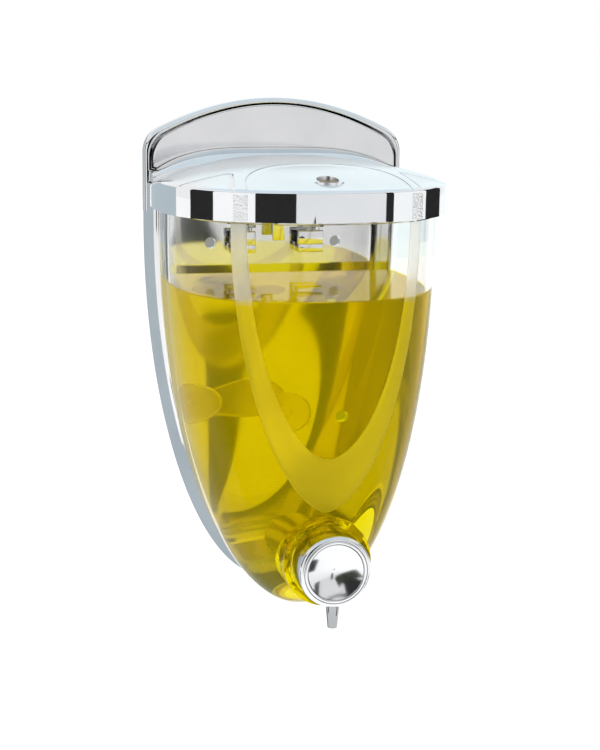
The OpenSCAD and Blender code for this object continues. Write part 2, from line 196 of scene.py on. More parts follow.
plate_chrome = metal("plate chrome", (0.70, 0.705, 0.71), (0.78, 0.78, 0.785), 0.04, 0.09)
# the lid's chrome carries a painted pale blue sky reflection in its colour, which makes it paler and bluer
# than the plate's chrome
lid_chrome_painted_blue = metal("lid chrome", (0.78, 0.80, 0.82), (0.84, 0.855, 0.87), 0.02, 0.05)
button_chrome = metal("button chrome", (0.68, 0.69, 0.70), (0.76, 0.765, 0.775), 0.09, 0.15)
steel = metal("bright steel", (0.52, 0.52, 0.53), (0.64, 0.64, 0.65), 0.14, 0.26, 300.0, 0.05)
lock_brass = metal("dull brass", (0.20, 0.13, 0.06), (0.42, 0.31, 0.16), 0.25, 0.45, 500.0, 0.1)

hammered = metal("hammered chrome", (0.78, 0.79, 0.80), (0.90, 0.90, 0.91), 0.08, 0.18,
                 1500.0, 0.9, 0.0006)


def satin_above(material, level, low, high):
    """Keep a metal bright below a height and make it satin above it."""
    nodes, links = material.node_tree.nodes, material.node_tree.links
    place = nodes.new("ShaderNodeTexCoord")
    parts = nodes.new("ShaderNodeSeparateXYZ")
    step = nodes.new("ShaderNodeMapRange")
    step.inputs["From Min"].default_value = (level - 0.6) * MM
    step.inputs["From Max"].default_value = (level + 0.9) * MM
    step.inputs["To Min"].default_value = low
    step.inputs["To Max"].default_value = high
    links.new(place.outputs["Object"], parts.inputs["Vector"])
    links.new(parts.outputs["Z"], step.inputs["Value"])
    links.new(step.outputs["Result"], nodes["Principled BSDF"].inputs["Roughness"])


satin_above(lid_chrome_painted_blue, RIM + 13.2, 0.03, 0.26)
nozzle_chrome = metal("nozzle chrome", (0.30, 0.31, 0.32), (0.42, 0.43, 0.44), 0.05, 0.12)

# %% [markdown]
# The tank is moulded in clear plastic, so light goes through it and bends a little.
# The U band on its front has a sanded mould face: the same plastic, with a rough
# surface that scatters what is behind it. The soap is a liquid that takes the blue out
# of the light at each pass, and a small share of it scatters like a solid.

# %% Clear plastic, satin plastic and soap
def clear(name, tint, ior, low, high, scale, strength, distance=0.0003):
    material, nodes, links, shader = new_material(name)
    shader.inputs["Transmission Weight"].default_value = 1.0
    shader.inputs["Specular IOR Level"].default_value = 0.12
    shader.inputs["IOR"].default_value = ior
    noise = grain(nodes, links, shader, scale, strength, distance, low, high)
    tone(nodes, links, shader, noise, [c * 0.985 for c in tint], tint)
    return material


clear_plastic = clear("clear plastic", (0.985, 0.985, 0.98), 1.14, 0.0, 0.02, 25.0, 0.02)
satin_plastic = clear("satin plastic", (0.99, 0.98, 0.95), 1.15, 0.30, 0.42, 1400.0, 0.30)
soap_liquid = clear("yellow soap", (1.0, 0.885, 0.012), 1.02, 0.0, 0.01, 12.0, 0.0)
soap_liquid.node_tree.nodes["Principled BSDF"].inputs["Transmission Weight"].default_value = 0.86


def paint_soap_glow_below(material, socket, level, above, below):
    """Give a clear piece one tint above a height, and below it paint the soap's yellow glow into its colour
    and a yellow tint into its reflections.
    """
    nodes, links = material.node_tree.nodes, material.node_tree.links
    place = nodes.new("ShaderNodeTexCoord")
    parts = nodes.new("ShaderNodeSeparateXYZ")
    spread = nodes.new("ShaderNodeMapRange")
    spread.inputs["From Min"].default_value = (level - 2.0) * MM
    spread.inputs["From Max"].default_value = (level + 1.0) * MM
    ramp = nodes.new("ShaderNodeValToRGB")
    ramp.color_ramp.elements[0].color = (*below, 1)
    ramp.color_ramp.elements[1].color = (*above, 1)
    links.new(place.outputs["Object"], parts.inputs["Vector"])
    links.new(parts.outputs["Z"], spread.inputs["Value"])
    links.new(spread.outputs["Result"], ramp.inputs["Fac"])
    links.new(ramp.outputs["Color"], nodes["Principled BSDF"].inputs[socket])


FILL = -32.0
SOAP_LEVEL = RIM + FILL
# below the soap's level the clear pieces carry painted light: the soap's yellow glow is painted into their
# colour, and their reflections get a painted yellow tint
paint_soap_glow_below(satin_plastic, "Base Color", SOAP_LEVEL, (0.98, 0.97, 0.92), (1.0, 0.92, 0.05))
paint_soap_glow_below(satin_plastic, "Specular Tint", SOAP_LEVEL, (1.0, 1.0, 1.0), (1.0, 0.90, 0.06))
paint_soap_glow_below(clear_plastic, "Base Color", SOAP_LEVEL, (0.985, 0.985, 0.98), (1.0, 0.96, 0.20))
paint_soap_glow_below(clear_plastic, "Specular Tint", SOAP_LEVEL, (1.0, 1.0, 1.0), (1.0, 0.90, 0.06))
satin_plastic.node_tree.nodes["Principled BSDF"].inputs["Transmission Weight"].default_value = 0.85

# %% [markdown]
# The pump's parts are plain white mouldings with a slight sheen, and its seals are black
# rubber. A soft noise keeps both from looking like one flat colour.

# %% Moulded plastics and rubber
def moulded(name, dark, light, low, high, scale=220.0, strength=0.08):
    material, nodes, links, shader = new_material(name)
    noise = grain(nodes, links, shader, scale, strength, 0.0002, low, high)
    tone(nodes, links, shader, noise, dark, light)
    return material


white_plastic = moulded("white plastic", (0.74, 0.74, 0.72), (0.84, 0.84, 0.82), 0.28, 0.42)
seal_rubber = moulded("black rubber", (0.015, 0.015, 0.016), (0.03, 0.03, 0.03), 0.45, 0.6)

# %% [markdown]
# ## Back plate
# One chrome moulding: an arched face with a rounded rim, a ledge behind the lid and a
# shield shaped tray that the tank nests against. The outline is one closed loop; offset
# copies of it, set at different depths, give the rim its roll and the tray its slant.

# %% Back plate outline
PLATE_HW = plate_high.x
PLATE_RISE = plate_high.z - RIM
TRAY_DROP = RIM - plate_low.z
CURVE = -10.0


def plate_loop(inset, y):
    """Whole outline of the plate, inset all round, at depth y."""
    hw = PLATE_HW - inset
    rise = PLATE_RISE - inset
    drop = TRAY_DROP - inset
    half = []
    for i in range(41):
        a = pi / 2 * i / 40
        half.append((hw * sin(a), CURVE - (drop + CURVE) * cos(a)))
    half += [(hw, CURVE + (rise - 24.5 - CURVE) * i / 6) for i in range(1, 7)]
    half += [(hw - 12 + 12 * cos(a), rise - 24.5 + 12.2 * sin(a))
             for a in [radians(62 * i / 10) for i in range(1, 11)]]
    x0, z0 = half[-1]
    for i in range(1, 25):
        x = x0 * (1 - i / 24)
        half.append((x, rise - (rise - z0) * (x / x0) ** 2))
    loop = half + [(-x, z) for x, z in reversed(half[1:-1])]
    return [(x, y, RIM + z) for x, z in loop]


# %% [markdown]
# Holes and recesses are cut with a boolean. The solver used gives the same mesh each
# time, and it needs closed bodies, which the skins and turned bars are.

# %% Cutting helper
def carve(base, *steps):
    """Join or cut closed bmeshes in turn: steps are (operation, bmesh)."""
    def temp(b):
        mesh = bpy.data.meshes.new("temp")
        b.to_mesh(mesh)
        b.free()
        obj = bpy.data.objects.new("temp", mesh)
        bpy.context.scene.collection.objects.link(obj)
        return obj
    body = temp(base)
    others = []
    for operation, b in steps:
        other = temp(b)
        others.append(other)
        mod = body.modifiers.new(operation, "BOOLEAN")
        mod.operation = operation
        mod.solver = "MANIFOLD"
        mod.object = other
    bpy.context.view_layer.update()
    done = body.evaluated_get(bpy.context.evaluated_depsgraph_get()).to_mesh()
    bm = bmesh.new()
    bm.from_mesh(done)
    for obj in [body] + others:
        mesh = obj.data
        bpy.data.objects.remove(obj)
        bpy.data.meshes.remove(mesh)
    return bm


# %% [markdown]
# The plate is moulded and plated in one piece. Its parts are made as closed bodies that
# run into each other: the slab with its screw holes, the arched upper plate with its
# rolled rim, the ledge, the tray's wall, and the hooks that the tank hangs on.

# %% Back plate piece
RIM_T = 6.6
rim_roll = [(0.0, -0.2), (0.0, -(RIM_T - 1.6))]
rim_roll += [(1.6 - 1.6 * cos(radians(a)), -(RIM_T - 1.6) - 1.6 * sin(radians(a)))
             for a in (22, 45, 67, 90)]
rim_roll += [(1.9, -RIM_T), (2.15, -RIM_T + 0.15), (2.6, -RIM_T + 2.2), (3.05, -RIM_T + 0.3),
             (3.4, -RIM_T + 0.15), (4.6, -RIM_T + 0.15), (8.0, -RIM_T + 0.3)]
# the floor behind the tank and the face above it
slab = bmesh.new()
first, last = skin(slab, [plate_loop(inset, y) for inset, y in
                          [(0.25, -0.01), (0.25, -3.0), (6.0, -3.0)]])
cap(slab, first)
cap(slab, last)
bmesh.ops.recalc_face_normals(slab, faces=slab.faces)
# four wall screw holes through it, at the mount's own spacing
screws = next(m for m in frame["record"]["mounts"] if m["name"] == "wall_screws")["dims"]
hole_r = screws["hole_r_mm"]
holes = bmesh.new()
for x in (-screws["spacing_x_mm"] / 2, screws["spacing_x_mm"] / 2):
    for z in (-screws["spacing_y_mm"] / 2, screws["spacing_y_mm"] / 2):
        turned(holes, [(0.0, -4.0), (hole_r, -4.0), (hole_r, 1.0), (0.0, 1.0)], (x, 0, z), (0, 1, 0), 48)
bmesh.ops.remove_doubles(holes, verts=holes.verts, dist=0.0005)
bmesh.ops.recalc_face_normals(holes, faces=holes.faces)
bm = carve(slab, ("DIFFERENCE", holes))
print("wall screw holes:", screws["count"], "of radius", hole_r)


def upper_loop(inset, y):
    """Outline of the arched upper plate, closed along a straight lower edge."""
    right = [p for p in plate_loop(inset, y)[: len(plate_loop(inset, y)) // 2 + 1] if p[2] > RIM - 6]
    left = [(-x, yy, z) for x, yy, z in reversed(right[:-1])]
    return right + left


first, last = skin(bm, [upper_loop(inset, y) for inset, y in rim_roll])
cap(bm, first)
cap(bm, last)


# the ledge behind the lid is rounded along its upper front, and clears the open lid's edge
LEDGE_HW = 58.3
LEDGE_LOW = 9.0
LEDGE_SIDE = 13.5
LEDGE_TOP = 24.4
LEDGE_FRONT = -21.5
LEDGE_ROOT = -3.2
LEDGE_ROUND = 14.9


def ledge_loop(x):
    """Section of the ledge at one place across the plate."""
    top = LEDGE_SIDE + (LEDGE_TOP - LEDGE_SIDE) * (1 - (abs(x) / LEDGE_HW) ** 3.6)
    low = LEDGE_LOW
    pts = [(LEDGE_ROOT, low), (LEDGE_FRONT, low), (LEDGE_FRONT, low + 0.55 * (top - low))]
    for i in range(1, 13):
        a = radians(90 * i / 12)
        pts.append((LEDGE_FRONT + LEDGE_ROUND * (1 - cos(a)),
                    low + (top - low) * (0.55 + 0.45 * sin(a))))
    pts.append((LEDGE_ROOT, top))
    return [(x, y, RIM + z) for y, z in pts]


xs = [LEDGE_HW * sin(radians(-90 + 180 * i / 48)) for i in range(49)]
first, last = skin(bm, [ledge_loop(x) for x in xs])
cap(bm, first)
cap(bm, last)


# the tray's side wall, slanting in towards the tank
def tray_loop(inset, y):
    """Right half of the tray wall's outline at depth y, from the bottom up."""
    k = 1 - 0.065 * (-y - 3) / 13.0
    half = []
    for i in range(49):
        a = pi / 2 * i / 48
        half.append(((PLATE_HW - inset) * sin(a) * k, CURVE - (TRAY_DROP + CURVE - inset) * cos(a) * k))
    half.append(((PLATE_HW - inset) * k, 8.0))
    return half


outer = [(0.0, -3.0), (0.0, -6.0), (0.0, -10.0), (0.0, -14.9), (0.35, -15.7), (0.9, -16.0)]
inner = [(1.7, -16.0), (2.3, -15.7), (2.5, -14.9), (2.5, -8.0), (2.5, -3.0)]
stations = [tray_loop(i, y) for i, y in outer + inner]
count = len(stations[0])
sections = []
for k in range(count):
    sections.append([(s[k][0], y, RIM + s[k][1]) for s, (i, y) in zip(stations, outer + inner)])
left = [[(-x, y, z) for x, y, z in sec] for sec in reversed(sections[1:])]
first, last = skin(bm, left + sections)
cap(bm, first)
cap(bm, last)

# hooks that carry the tank, the centre catch and the lower rest
HOOK_X = 16
HOOK_HW = 6
for side in (-1, 1):
    x0, x1 = side * HOOK_X - HOOK_HW, side * HOOK_X + HOOK_HW
    box_island(bm, x0, x1, -12.0, -3.0, -24.0, -20.0, 0.5)
    box_island(bm, x0, x1, -12.0, -9.6, -20.4, -14.0, 0.5)
box_island(bm, -2.8, 2.8, -15.8, -13.8, -18.0, 9.2, 0.4)
box_island(bm, -12, 12, -16.1, -3.0, -150, -146, 0.5)
back_plate = finish_piece(bm, "back_plate", plate_chrome, "base", 40)
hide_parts("wall_plate")

# %% [markdown]
# ## Tank
# Seen from above the tank is a rounded D, and it narrows to a rounded keel at the bottom.
# Each level is one loop: a super-ellipse gives the full, soft front, and the level's
# width and depth shrink towards the bottom. The same loops, moved in, give the inside
# above the soap and the soap's own skin.

# %% Tank shape
TANK_HW = 57.0
TANK_BACK = -16.2
TANK_FRONT = -113.0
TANK_MID = -48.0
TANK_DROP = RIM - tank_low.z
TANK_ROUND = 2.55
TANK_WALL = 2.4
NECK_Z = -0.6


def tank_size(z, inset):
    """Half width and depth of the tank at a height from the lid's lower edge."""
    drop = TANK_DROP - inset
    t = min(1.0, max(0.0, (CURVE - z) / (drop + CURVE)))
    q = min(1.0, max(0.0, -z / drop))
    return (TANK_HW - inset) * sqrt(1 - t * t), (1 - q ** 4) ** 0.25


def tank_loop(z, inset):
    """One level of the tank as a closed loop."""
    w, q = tank_size(z, inset)
    back = TANK_BACK - inset
    mid = back + (TANK_MID - back) * q
    front = back + (TANK_FRONT + inset - back) * q
    wb = w * 0.98
    r = min(4.0, 0.4 * w, 0.4 * (back - front))
    pts = []
    pts += [(wb - r + r * sin(radians(a)), back - r + r * cos(radians(a))) for a in (0, 30, 60, 90)]
    pts += [(wb + (w - wb) * i / 6, back - r + (mid - back + r) * i / 6) for i in range(1, 6)]
    for i in range(73):
        a = pi * i / 72
        pts.append((w * power(cos(a), 2 / TANK_ROUND),
                    mid + (front - mid) * power(sin(a), 2 / TANK_ROUND)))
    pts += [(-w + (w - wb) * i / 6, mid + (back - r - mid) * i / 6) for i in range(1, 6)]
    pts += [(-(wb - r) - r * cos(radians(a)), back - r + r * sin(radians(a))) for a in (0, 30, 60, 90)]
    pts += [(-(wb - r) + 2 * (wb - r) * i / 12, back) for i in range(1, 12)]
    return [(x, y, RIM + z) for x, y in pts]


def tank_levels(top, inset, steps=56):
    """Heights of the loops from the top down, closer together towards the keel."""
    drop = TANK_DROP - inset
    low = [-drop * sin(pi / 2 * i / steps) for i in range(1, steps)]
    return [top] + [z for z in low if z < top - 0.3]


def tank_front_y(x, z):
    """Depth of the tank's front surface at a point seen from the front."""
    w, q = tank_size(z, 0.0)
    mid = TANK_BACK + (TANK_MID - TANK_BACK) * q
    front = TANK_BACK + (TANK_FRONT - TANK_BACK) * q
    s = min(0.999, abs(x) / max(w, 0.01))
    return mid + (front - mid) * (1 - s ** TANK_ROUND) ** (1 / TANK_ROUND)


def tank_body(inset, top, neck=None):
    """Closed solid of the tank's shape, with a narrower neck on top if one is given."""
    bm = bmesh.new()
    loops = [tank_loop(z, inset) for z in tank_levels(top, inset)]
    if neck:
        neck_inset, neck_top = neck
        ring = tank_loop(0.0, neck_inset)
        loops = [[(x, y, RIM + z) for x, y, _ in ring] for z in (neck_top, top)] + loops
    first, last = skin(bm, loops)
    cap(bm, first)
    bolster(bm, last)
    bmesh.ops.recalc_face_normals(bm, faces=bm.faces)
    return bm


def tank_air():
    """The air inside the tank, from above the rim down to the soap's surface."""
    bm = bmesh.new()
    ring = tank_loop(0.0, TANK_WALL + 1.0)
    loops = [[(x, y, RIM + z) for x, y, _ in ring] for z in (7.0, NECK_Z - 0.4)]
    depths = (NECK_Z - 0.6, -4, -7, -10, -14, -18, -22, -26, -30, FILL)
    loops += [tank_loop(z, TANK_WALL) for z in depths]
    first, last = skin(bm, loops)
    cap(bm, first)
    cap(bm, last)
    bmesh.ops.recalc_face_normals(bm, faces=bm.faces)
    return bm


PUMP_Z = (button_low.z + button_high.z) / 2
BOSS_R = ring_high.x
RECESS_R = 16.4
PUMP_R = 8.85
TAB_HW = 5


def rod(r, y0, y1):
    """Closed round bar on the pump's axis as a bmesh."""
    bm = bmesh.new()
    turned(bm, [(0.0, y0), (r, y0), (r, y1), (0.0, y1)], (0, 0, PUMP_Z), (0, 1, 0), 96)
    bmesh.ops.remove_doubles(bm, verts=bm.verts, dist=0.0005)
    bmesh.ops.recalc_face_normals(bm, faces=bm.faces)
    return bm


# %% [markdown]
# The tank is open at the top, with a thin neck that the lid covers. The round boss for
# the pump is joined on, and the air space, the button's recess and the pump's hole are
# cut out. Two small tabs at the back reach over the plate's hooks.

# %% Tank piece
tank_bm = carve(tank_body(0.0, NECK_Z, (1.4, 6.0)),
                ("UNION", rod(BOSS_R, ring_high.y, -72.0)),
                ("DIFFERENCE", tank_air()),
                ("DIFFERENCE", rod(RECESS_R, ring_high.y - 1, -98.6)),
                ("DIFFERENCE", rod(PUMP_R, -99.6, -49.9)))
for side in (-1, 1):
    x0, x1 = side * HOOK_X - TAB_HW, side * HOOK_X + TAB_HW
    box_island(tank_bm, x0, x1, -8.5, -6.5, -20.0, -10.0, 0.4)
    box_island(tank_bm, x0, x1, -16.4, -7.0, -12.0, -10.0, 0.4)
tank = finish_piece(tank_bm, "clear_tank", clear_plastic, "base", 30)
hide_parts("tank")

# %% [markdown]
# The lid's hinge lugs and the lock's catch belong to the same clear moulding. They are
# plain blocks and short drums, so they are made as boxes and turned shapes.

# %% Hinge lugs and catch
HINGE_Y = -28.5
HINGE_Z = 15.2
LUG_X = 20
EAR_X = 26
bm = bmesh.new()
for side in (-1, 1):
    x0 = side * LUG_X - 3
    box_island(bm, x0, x0 + 6, HINGE_Y - 2.6, HINGE_Y + 2.6, 2, HINGE_Z, 0.3)
    box_island(bm, x0, x0 + 6, HINGE_Y, -17.4, 2, 6, 0.3)
    turned(bm, [(0.0, -3.0), (2.4, -3.0), (2.6, -2.8), (2.6, 2.8), (2.4, 3.0), (0.0, 3.0)],
           (side * LUG_X, HINGE_Y, RIM + HINGE_Z), (1, 0, 0), 40)
box_island(bm, -8, 8, -111.5, -106.4, 3.2, 5.9, 0.4)
lugs = finish_piece(bm, "hinge_lugs", clear_plastic, "base")

# %% [markdown]
# The satin U band stands a little proud of the tank's front. A ring of points is the
# band's cross section, and it is carried along the U from one end to the other, with
# each point laid on the tank's own surface.

# %% Satin band
BAND_OUT = (39.6, 121.0, 1.2)
BAND_IN = (34.0, 97.5, 1.12)


def band_edge(edge, turn):
    """Point on one edge of the U, turn in degrees from the right end to the left end."""
    w, h, e = edge
    a = radians(turn)
    return w * power(cos(a), e), min(NECK_Z - 0.3, -h * sin(a))


def band_section(turn):
    """Cross section of the band at one place along the U."""
    xi, zi = band_edge(BAND_IN, turn)
    xo, zo = band_edge(BAND_OUT, turn)
    loop = []
    for i in range(17):
        c = i / 16
        x, z = xi + (xo - xi) * c, zi + (zo - zi) * c
        lift = 0.75 * (1 - abs(2 * c - 1) ** 5)
        loop.append((x, tank_front_y(x, z) - lift, RIM + z))
    for i in range(8, -1, -1):
        c = i / 8
        x, z = xi + (xo - xi) * c, zi + (zo - zi) * c
        loop.append((x, tank_front_y(x, z) + 0.5, RIM + z))
    return loop


bm = bmesh.new()
turns = [180 * (i / 140) for i in range(141)]
first, last = skin(bm, [band_section(t) for t in turns])
cap(bm, first)
cap(bm, last)
satin_band = finish_piece(bm, "satin_band", satin_plastic, "base", 50)

# %% [markdown]
# The soap fills the tank to a level line a little below the lid. Below that line the
# clear piece is made solid, with the soap's skin just inside its outer surface, so there
# is no film of air between them to spoil the light.

# %% Soap
SKIN = 0.45
soap_bm = carve(tank_body(SKIN, FILL - 0.15),
                ("UNION", rod(BOSS_R - SKIN, -97.5, -74.0)),
                ("DIFFERENCE", rod(RECESS_R + SKIN, -125.0, -97.8)),
                ("DIFFERENCE", rod(PUMP_R + 0.1, -112.0, -49.8)))
soap_piece = finish_piece(soap_bm, "soap", soap_liquid, "base", 30)

# %% [markdown]
# The mould leaves round marks on the tank: flat discs with a small hub, where a pin
# pushed the part out. Each is one half section spun once round its own axis.

# %% Mould marks
bm = bmesh.new()
MARK_Y = -22.0
for x, z in ((3.4, -93.5), (-26.0, -88.0)):
    turned(bm, [(0.0, -1.6), (1.1, -1.6), (1.4, -1.2), (1.5, -0.4), (8.2, -0.4), (8.6, -0.8),
                (9.0, -0.4), (9.0, 0.4), (0.0, 0.4)], (x, MARK_Y, RIM + z), (0, 1, 0), 64)
marks = finish_piece(bm, "mould_marks", satin_plastic, "base", 40)

# %% [markdown]
# ## Lid
# The lid is a crowned chrome shell with an upright band round its front and sides.
# Loops shrink from the band's lower edge over a small rounded edge and up the crown to
# one pole, and the same loops a wall's thickness lower make the inside.

# %% Lid shape
LID_HW = lid_high.x
LID_FRONT = lid_low.y
LID_BACK = lid_high.y
LID_MID = -48.0
LID_ROUND = 2.4
BAND_TOP = 12.5
CROWN = lid_high.z - RIM
LID_CENTRE = Vector((0.0, -62.0))


def lid_plan(inset, steps=120):
    """Plan of the lid as a closed loop of (x, y, rear), rear from 0 to 1 on the straight back."""
    hw, front, back = LID_HW - inset, LID_FRONT + inset, LID_BACK - inset
    wb = hw - 1.6
    pts = [(wb + (hw - wb) * sin(pi / 2 * i / 6), back + (LID_MID - back) * i / 6, 0) for i in range(6)]
    for i in range(steps + 1):
        a = pi * i / steps
        pts.append((hw * power(cos(a), 2 / LID_ROUND),
                    LID_MID + (front - LID_MID) * power(sin(a), 2 / LID_ROUND), 0))
    pts += [(-hw + (hw - wb) * (1 - cos(pi / 2 * i / 6)), LID_MID + (back - LID_MID) * i / 6, 0)
            for i in range(1, 7)]
    pts += [(-wb + 2 * wb * i / 40, back, 1) for i in range(1, 40)]
    return pts


def crown_height(x, y):
    """Height of the smooth crown above the lid's lower edge."""
    across = (min(1.0, abs(x) / LID_HW)) ** LID_ROUND
    along = (max(0.0, LID_MID - y) / (LID_MID - LID_FRONT)) ** LID_ROUND
    rear = min(1.0, max(0.0, (y + 75.0) / (LID_BACK + 75.0)))
    side = BAND_TOP - 4.5 * rear ** 2
    return side + (CROWN - side) * (1 - min(1.0, across + along) ** (1.15 - 0.15 * rear))


ARCH_HW = 34.0
ARCH_FOOT = -108.0
ARCH_DEEP = 33.0
ARCH_ROUND = 2.3


def arch_distance(x, y):
    """One on the arch's line and less inside it."""
    return ((abs(x) / ARCH_HW) ** ARCH_ROUND
            + (max(0.0, y - ARCH_FOOT) / ARCH_DEEP) ** ARCH_ROUND) ** (1 / ARCH_ROUND)


def lid_top(x, y):
    """Crown with the arch shaped centre panel and the two side panels sunk into it."""
    z = crown_height(x, y)
    z -= 0.45 * min(1.0, max(0.0, (1.0 - arch_distance(x, y)) / 0.05))
    leg = 35.3 + 4.1 * max(0.0, -83.0 - y) / 24.0
    side_on = (abs(x) - leg) / 1.2
    back_on = (-82.4 - y) / 1.2
    return z - 0.45 * min(1.0, max(0.0, min(side_on, back_on)))


def groove(path, wide=0.5, deep=0.7):
    """A thin ribbon that stands on a line over the crown, to cut a groove with."""
    bm = bmesh.new()
    loops = []
    for i, (x, y) in enumerate(path):
        before, after = Vector(path[max(0, i - 1)]), Vector(path[min(len(path) - 1, i + 1)])
        along = (after - before).normalized()
        side = Vector((-along.y, along.x)) * wide / 2
        z = RIM + crown_height(x, y)
        loops.append([(x - side.x, y - side.y, z + 2), (x + side.x, y + side.y, z + 2),
                      (x + side.x, y + side.y, z - deep), (x - side.x, y - side.y, z - deep)])
    first, last = skin(bm, loops)
    cap(bm, first)
    cap(bm, last)
    bmesh.ops.recalc_face_normals(bm, faces=bm.faces)
    return bm


arch_path = [(ARCH_HW, -112.0)]
arch_path += [(ARCH_HW * power(cos(pi * i / 72), 2 / ARCH_ROUND),
               ARCH_FOOT + ARCH_DEEP * sin(pi * i / 72) ** (2 / ARCH_ROUND)) for i in range(73)]
arch_path += [(-ARCH_HW, -112.0)]
panel_path = [(39.6, -108.5), (38.4, -101.0), (36.9, -92.0), (35.6, -84.6), (36.4, -82.8), (39.0, -82.4),
              (44.0, -82.4), (50.0, -82.1), (55.0, -81.4), (58.6, -80.6)]


# %% [markdown]
# The outside and the inside are two skins joined along the lower edge, which makes one
# closed shell. The lock's collar is joined on, then the lock's hole and the fine lines
# of the arch and the side panels are cut, and the two hinge ears are added.

# %% Lid piece
LID_WALL = 2.0
TOP_WALL = 2.6


def lid_loops():
    """Loops of the lid's outside, from the band's lower edge up to the pole of the crown."""
    loops = []
    edge = lid_plan(0.0)
    soft = 1.5

    def low_edge(p):
        x, y, rear = p
        if rear:
            return 18.2 if abs(x) < 32 else 7.0
        return 7.0 if y > LID_BACK - 4 else 0.0

    def shrink(p, s):
        return LID_CENTRE.x + (p[0] - LID_CENTRE.x) * s, LID_CENTRE.y + (p[1] - LID_CENTRE.y) * s

    loops.append([(x, y, RIM + low_edge((x, y, r))) for x, y, r in edge])
    for k in (0.33, 0.66, 1.0):
        loops.append([(x, y, RIM + low_edge((x, y, r)) + (crown_height(x * 0.985, y * 0.985 - 0.9)
                       - soft - low_edge((x, y, r))) * k) for x, y, r in edge])
    for a in (20, 45, 70):
        s = 1 - (soft * (1 - cos(radians(a)))) / 60.0
        ring = []
        for p in edge:
            x, y = shrink(p, s)
            ring.append((x, y, RIM + crown_height(p[0] * 0.985, p[1] * 0.985 - 0.9)
                         - soft * (1 - sin(radians(a)))))
        loops.append(ring)
    steps = 110
    for i in range(steps):
        s = (1 - soft / 60.0) * (1 - i / steps) + 0.012 * i / steps
        loops.append([(x, y, RIM + lid_top(x, y)) for x, y in [shrink(p, s) for p in edge]])
    return loops


bm = bmesh.new()
outside = lid_loops()
inner_edge = lid_plan(LID_WALL)
first, top_ring = skin(bm, outside)
bolster(bm, top_ring)
inside = [[(x, y, o[2]) for (x, y, r), o in zip(inner_edge, outside[0])]]
inside.append([(x, y, max(o[2], RIM + crown_height(x, y) - TOP_WALL))
               for (x, y, r), o in zip(inner_edge, outside[0])])
for i in range(1, 15):
    s = 1 - 0.985 * i / 15
    inside.append([(LID_CENTRE.x + (x - LID_CENTRE.x) * s, LID_CENTRE.y + (y - LID_CENTRE.y) * s,
                    RIM + crown_height(LID_CENTRE.x + (x - LID_CENTRE.x) * s,
                                       LID_CENTRE.y + (y - LID_CENTRE.y) * s) - TOP_WALL)
                   for x, y, r in inner_edge])
inner_ring = skin(bm, inside)[1]
bolster(bm, inner_ring)
bmesh.ops.bridge_loops(bm, edges=[e for e in bm.edges if e.is_boundary])
bmesh.ops.remove_doubles(bm, verts=bm.verts, dist=0.0005)
bmesh.ops.recalc_face_normals(bm, faces=bm.faces)

LOCK = Vector((0.0, -101.2))


def upright(r, z0, z1):
    """Closed upright round bar on the lock's axis as a bmesh."""
    bm = bmesh.new()
    turned(bm, [(0.0, z0), (r, z0), (r, z1), (0.0, z1)], (LOCK.x, LOCK.y, RIM), (0, 0, 1), 64)
    bmesh.ops.remove_doubles(bm, verts=bm.verts, dist=0.0005)
    bmesh.ops.recalc_face_normals(bm, faces=bm.faces)
    return bm


lid_bm = carve(bm, ("UNION", upright(7.0, 6.0, 15.4)), ("DIFFERENCE", upright(4.6, 0.0, 30.0)),
               ("DIFFERENCE", groove(arch_path)), ("DIFFERENCE", groove(panel_path)),
               ("DIFFERENCE", groove([(-x, y) for x, y in panel_path])))
for side in (-1, 1):
    x0 = side * EAR_X - 2
    box_island(lid_bm, x0, x0 + 4, HINGE_Y - 2.6, HINGE_Y + 2.6, HINGE_Z, 18.6, 0.2)
    turned(lid_bm, [(0.0, -2.0), (2.6, -2.0), (2.6, 2.0), (0.0, 2.0)],
           (side * EAR_X, HINGE_Y, RIM + HINGE_Z), (1, 0, 0), 40)
lid = finish_piece(lid_bm, "chrome_lid", lid_chrome_painted_blue, "lid", 28)
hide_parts("lid")

# %% [markdown]
# Two hammered strips run down the band where the arch meets it. Each is a thin pad
# that follows the band, with a pebbled bump that breaks the reflections into sparks.

# %% Hammered strips
bm = bmesh.new()


def lid_front_y(x):
    s = min(0.999, abs(x) / LID_HW)
    return LID_MID + (LID_FRONT - LID_MID) * (1 - s ** LID_ROUND) ** (1 / LID_ROUND)


for side in (-1, 1):
    loops = []
    for i in range(13):
        x = side * (34.2 + 5.2 * i / 12)
        lift = 0.35 if 0 < i < 12 else 0.1
        y = lid_front_y(x)
        loops.append([(x, y + 0.6, RIM + 0.3), (x, y - lift, RIM + 0.3),
                      (x, y - lift, RIM + 6), (x, y - lift, RIM + BAND_TOP - 1.6),
                      (x, y + 0.6, RIM + BAND_TOP - 1.6)])
    first, last = skin(bm, loops)
    cap(bm, first)
    cap(bm, last)
strips = finish_piece(bm, "lid_strips", hammered, "lid", 30)

# %% [markdown]
# ## Push button, nozzle and boss ring
# These are turned parts, so each is one half section spun once round its axis: the
# button has a soft outer edge and a hollow dish for the finger.

# %% Button, nozzle and ring
bm = bmesh.new()
R = button_high.x
front, back = button_low.y, button_high.y
edge = 1.9
dish = 11.6
half = [(0.0, front + 3.2)]
half += [(dish * i / 24, front + 3.2 * (1 - (i / 24) ** 1.7) + 0.25) for i in range(1, 25)]
half += [(dish + 0.2, front + 0.9), (dish + 0.45, front + 0.1), (dish + 0.8, front)]
half += [(12.9, front), (13.1, front + 0.15), (13.25, front + 0.8), (13.4, front + 0.15)]
half += [(R - edge + edge * cos(radians(a)), front + 0.1 + edge - edge * sin(radians(a)))
         for a in range(84, -1, -12)]
half += [(R, back), (R - 1.8, back), (R - 1.8, front + 6.5), (5.5, front + 6.5),
         (5.5, back - 1), (3.0, back - 1), (3.0, front + 7.5), (0.0, front + 7.5)]
turned(bm, half, (0, 0, PUMP_Z), (0, 1, 0), 128)
button = finish_piece(bm, "push_button_cap", button_chrome, "button", 50)
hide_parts("push_button")

